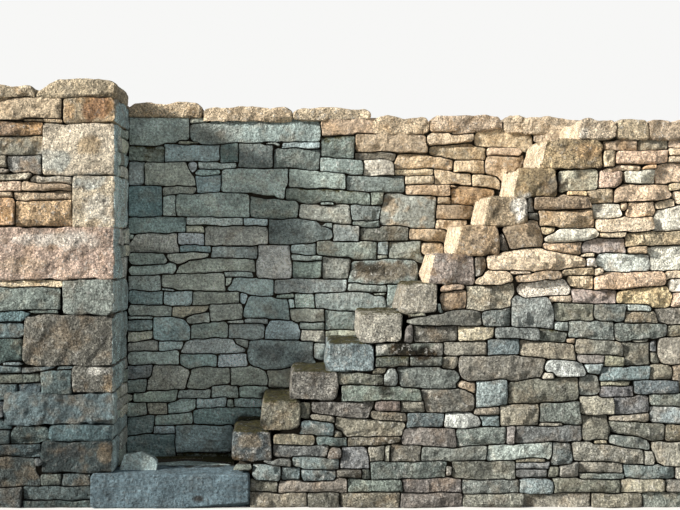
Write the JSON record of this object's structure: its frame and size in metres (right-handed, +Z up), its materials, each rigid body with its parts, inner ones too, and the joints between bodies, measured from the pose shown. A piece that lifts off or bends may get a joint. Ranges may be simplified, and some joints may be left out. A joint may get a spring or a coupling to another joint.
{
  "type": "dry stone terrace wall with an inset flight of steps",
  "caption": "Dry stone retaining wall with a steep flight of block steps let into its face, a landing behind a threshold slab, corner quoins and rough coping stones.",
  "frame": {"origin": "middle of the bounding box on the ground", "axes": "+X along the wall in the climbing direction of the steps, +Y into the bank, +Z up"},
  "size_m": [5.988, 1.265, 2.993],
  "materials": {
    "warm_masonry": "rough split field stones in beige, grey and buff, laid dry in uneven courses",
    "grey_masonry": "flat grey sandstones laid dry, with algae and lichen",
    "step_stone": "rough dressed granite blocks, mossy on the treads",
    "quoin_stone": "rough dressed granite quoins with ochre stains",
    "coping_stone": "hewn coping stones, weathered pale on top",
    "slab_stone": "dressed blue-grey granite slab, worn smooth on its edge",
    "landing_stone": "trodden flat stones with moss between them"
  },
  "bodies": {
    "root": {"left_wall": "warm_masonry", "right_wall": "warm_masonry", "stair_base": "warm_masonry", "back_wall": "grey_masonry", "landing": "landing_stone", "threshold_slab": "slab_stone", "top_step": "coping_stone", "step_1": "step_stone", "step_2": "step_stone", "step_3": "step_stone", "step_4": "step_stone", "step_5": "step_stone", "step_6": "step_stone", "step_7": "step_stone", "step_8": "step_stone", "step_9": "step_stone", "step_10": "step_stone", "step_11": "step_stone", "quoin_1": "quoin_stone", "quoin_2": "quoin_stone", "quoin_3": "quoin_stone", "quoin_4": "quoin_stone", "quoin_5": "quoin_stone", "quoin_6": "quoin_stone", "quoin_7": "quoin_stone", "quoin_8": "quoin_stone", "quoin_9": "quoin_stone", "quoin_10": "quoin_stone", "left_coping_1": "coping_stone", "left_coping_2": "coping_stone", "left_coping_3": "coping_stone", "back_coping_1": "coping_stone", "back_coping_2": "coping_stone", "back_coping_3": "coping_stone", "back_coping_4": "coping_stone", "back_coping_5": "coping_stone", "back_coping_6": "coping_stone", "back_coping_7": "coping_stone", "right_coping_1": "coping_stone", "right_coping_2": "coping_stone", "right_coping_3": "coping_stone", "right_coping_4": "coping_stone"}
  },
  "joints": []
}
